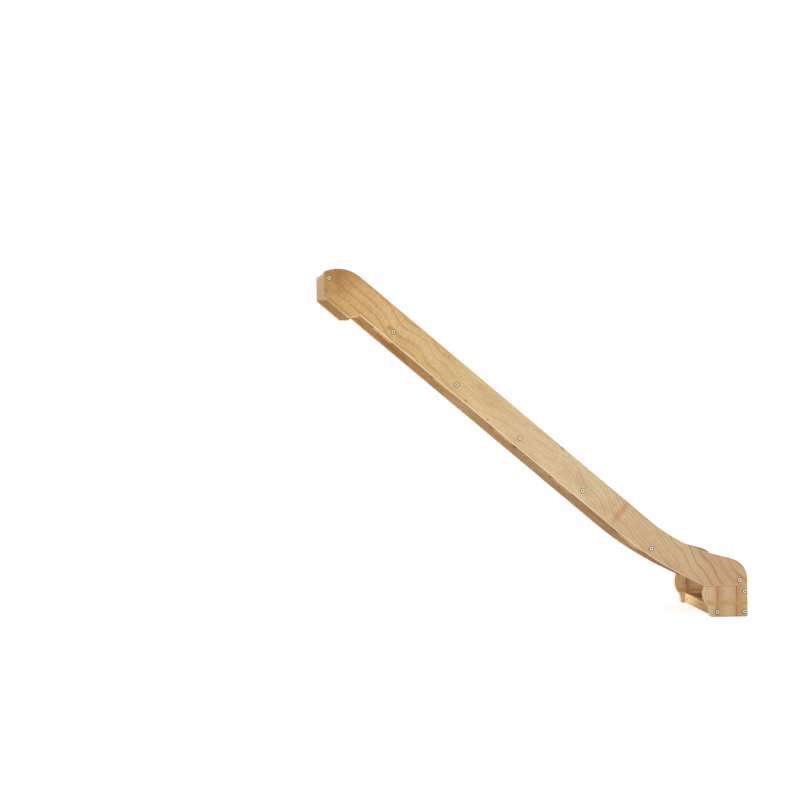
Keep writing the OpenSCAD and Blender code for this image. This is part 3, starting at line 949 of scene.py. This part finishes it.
def make_boards():
    """Every wooden piece but the dowels."""
    # Each highlight share sets the strength of the painted highlight on faces that look down or back
    near = wood("board_right", ALONG_SLOPE, SIDE_TONES, SIDE_LINE, seed=1.7, spacing=0.034,
                sway=0.014, steps=STEPS, knots=NEAR_KNOTS, branches=NEAR_BRANCHES, head=True,
                bold_ends=BOLD_ENDS, highlight_side=UNDERSIDE, highlight_share=0.8,
                bolts=bolt_middles(NEAR, BOARD_BOLTS))
    # The far board gets the darker tones, painted shade
    far = wood("board_left", ALONG_SLOPE, FAR_SHADED_TONES, FAR_LINE, seed=7.3, spacing=0.034,
               sway=0.014, steps=STEPS[::2], knots=FAR_KNOTS, bold_ends=BOLD_ENDS,
               highlight_side=UNDERSIDE, highlight_share=0.15, bolts=bolt_middles(FAR, BOARD_BOLTS))
    eased("side_board_right", near, BOARD_EDGE_R)
    eased("side_board_left", far, BOARD_EDGE_R)
    for i in range(1, 6):
        material = wood(f"batten_wood_{i}", ACROSS_ON_SLOPE, BATTEN_TONES, RAIL_LINE, seed=2.3 * i,
                        spacing=0.014, sway=0.01, gloss=0.25)
        eased(f"batten_{i}", material, BATTEN_EDGE_R)
    rails = (("exit_batten", RAIL_TONES), ("hanger_board", HANGER_TONES),
             ("foot_riser", RISER_TONES), ("foot_stretcher", STRETCHER_TONES))
    for i, (node, tones) in enumerate(rails):
        material = wood(node + "_wood", ACROSS, tones, RAIL_LINE, seed=31.0 + 3.7 * i,
                        spacing=0.016, sway=0.015, gloss=0.25)
        eased(node, material, RAIL_EDGE_R)
    panels = ((NEAR, "foot_panel_right", FOOT_TONES), (FAR, "foot_panel_left", FAR_FOOT_TONES))
    for side, node, tones in panels:
        material = wood(node + "_wood", UPRIGHT, tones, FOOT_LINE, seed=53.5 + 2.5 * side,
                        spacing=0.011, sway=0.004, staves=True, lines_share=0.4, highlight_side=REAR,
                        highlight_share=0.45, bolts=bolt_middles(side, FOOT_BOLTS))
        eased(node, material, BOARD_EDGE_R)
    make_bed(plywood("bed_plywood"))


# ---------------------------------------------------------------- hardware

# Connector bolts: a flat chamfered head with a hex socket, and a threaded shank
HEAD_CHAMFER = 0.0013
HEAD_LIP = 0.0004               # width of the rings without painted shade beside the socket and the chamfer
SOCKET_FLATS = 0.004
SOCKET_MOUTH_R = 0.0030
SOCKET_DEPTH = 0.0032
SOCKET_CONE = 0.0006            # how much deeper the middle of the socket is
NECK_R, NECK_LENGTH = 0.0044, 0.0022
SHANK_R = 0.003
SHANK_IN = 0.0024               # how far under the head the thread starts, inside the neck
SHANK_POINT = 0.0006
THREAD_PITCH = 0.001
THREAD_DEPTH = 0.00055
HEAD_SIDES, SHANK_SIDES = 48, 20
SHANK_DIRT = 0.15


def add_rings(bm, rings, shade_and_grime_layer, shade_and_dirt):
    """Closed shell through rings of equal count, capped at both ends, with each ring's painted shade
    or dirt.
    """
    made = []
    for ring, amount in zip(rings, shade_and_dirt):
        corners = [bm.verts.new(p) for p in ring]
        for corner in corners:
            corner[shade_and_grime_layer] = amount
        made.append(corners)
    count = len(rings[0])
    for a, b in zip(made, made[1:]):
        for j in range(count):
            k = (j + 1) % count
            bm.faces.new((a[j], a[k], b[k], b[j]))
    bm.faces.new(list(reversed(made[0])))
    bm.faces.new(made[-1])


def hex_radius(angle):
    """Distance from the middle to a hexagon's side, for a hexagon 1 across its flats."""
    turn = (angle + math.pi / 6) % (math.pi / 3) - math.pi / 6
    return 0.5 / math.cos(turn)


def add_bolt(bm, shade_and_grime_layer, points):
    """One connector bolt where a CAD bolt lies, along Y, with its head outwards."""
    low, high = box_of(points)
    middle = (low + high) / 2
    out = 1 if middle.y > 0 else -1
    face, tip = (high.y, low.y) if out > 0 else (low.y, high.y)
    length = abs(tip - face)
    head_r = (high.x - low.x) / 2
    rim = [p for p in points if math.hypot(p.x - middle.x, p.z - middle.z) > head_r * 0.9]
    under = max(abs(p.y - face) for p in rim)

    def ring(radius, depth, sides, shape=None):
        """Corners round the bolt's axis, at a depth below the head's face."""
        y, corners = face - out * depth, []
        for i in range(sides):
            a = math.tau * i / sides
            r = radius * (shape(a) if shape else 1)
            corners.append((middle.x + r * math.cos(a), y, middle.z + r * math.sin(a)))
        return corners

    # Radius, depth, shape, and painted shade or dirt of each ring, from the socket's floor out and
    # down to the neck. The socket, the chamfer and the head's rim get painted shade; the head's
    # underside and the neck get light dirt.
    chamfer_r = head_r - HEAD_CHAMFER
    rows = (
        (SOCKET_FLATS * 0.2, SOCKET_DEPTH + SOCKET_CONE, None, 1.0),
        (SOCKET_FLATS, SOCKET_DEPTH, hex_radius, 1.0),
        (SOCKET_FLATS, HEAD_LIP, hex_radius, 1.0),
        (SOCKET_MOUTH_R, 0.0, None, 1.0),
        (SOCKET_MOUTH_R + HEAD_LIP, 0.0, None, 0.0),
        (chamfer_r - HEAD_LIP, 0.0, None, 0.0),
        (chamfer_r, 0.0, None, 0.7),
        (head_r - HEAD_CHAMFER * 0.35, HEAD_CHAMFER * 0.3, None, 0.75),
        (head_r, HEAD_CHAMFER * 0.75, None, 0.85),
        (head_r, under - 0.0001, None, 0.85),
        (head_r - 0.0002, under, None, 0.5),
        (NECK_R, under, None, 0.2),
        (SHANK_R + 0.0001, under + NECK_LENGTH, None, 0.2),
        (SHANK_R - 0.0001, under + NECK_LENGTH + 0.0008, None, 0.2),
    )
    head = [ring(radius, depth, HEAD_SIDES, shape) for radius, depth, shape, _ in rows]
    add_rings(bm, head, shade_and_grime_layer, [shade_and_dirt for *_, shade_and_dirt in rows])

    core_r, depth = SHANK_R - THREAD_DEPTH, under + SHANK_IN
    shank = [ring(core_r, depth, SHANK_SIDES)]
    while depth + THREAD_PITCH < length - THREAD_PITCH:
        shank.append(ring(core_r, depth + THREAD_PITCH * 0.1, SHANK_SIDES))
        shank.append(ring(SHANK_R, depth + THREAD_PITCH * 0.5, SHANK_SIDES))
        shank.append(ring(SHANK_R, depth + THREAD_PITCH * 0.6, SHANK_SIDES))
        depth += THREAD_PITCH
    shank.append(ring(core_r, length - SHANK_POINT, SHANK_SIDES))
    shank.append(ring(core_r - 0.0004, length, SHANK_SIDES))
    add_rings(bm, shank, shade_and_grime_layer, [SHANK_DIRT] * len(shank))


def make_bolts(node, material):
    """The connector bolts of one CAD node as one piece."""
    bm = bmesh.new()
    shade_and_grime_layer = bm.verts.layers.float.new("shade_and_grime")
    for points in islands(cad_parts[node].data):
        add_bolt(bm, shade_and_grime_layer, points)
    add_piece(node, to_mesh(bm, node + "_shown", 30), material)


def make_hardware():
    """Bolts, barrel nuts, cam locks and their dowels, bed screws and wooden dowels."""
    nickel = metal("nickel_plate", srgb(230, 226, 204), srgb(198, 192, 165), 0.42)
    zinc = metal("cast_zinc", srgb(228, 230, 214), srgb(186, 186, 172), 0.48)
    plate = metal("zinc_plate", srgb(206, 204, 194), srgb(160, 156, 140), 0.38)
    for node in BOARD_BOLTS + FOOT_BOLTS:
        make_bolts(node, nickel)
    for joined in ("batten", "hanger", "exit", "riser", "stretcher"):
        eased(joined + "_barrel_nuts", nickel, METAL_EDGE_R, METAL_EDGE_R)
    eased("cam_locks", zinc, METAL_EDGE_R, METAL_EDGE_R)
    eased("cam_dowels", plate, METAL_EDGE_R, METAL_EDGE_R)
    eased("bed_screws", plate, SCREW_EDGE_R, SCREW_EDGE_R)
    dowel = wood("dowel_wood", UPRIGHT, RAIL_TONES, RAIL_LINE, seed=77.0, spacing=0.003, sway=0.001)
    eased("wooden_dowels", dowel, DOWEL_EDGE_R, DOWEL_EDGE_R)


# ---------------------------------------------------------------- the scene

bpy.context.scene.view_settings.view_transform = "Standard"
bpy.context.scene.view_settings.look = "None"
make_camera()
make_world()
make_floor()
make_lamps()
make_boards()
make_hardware()
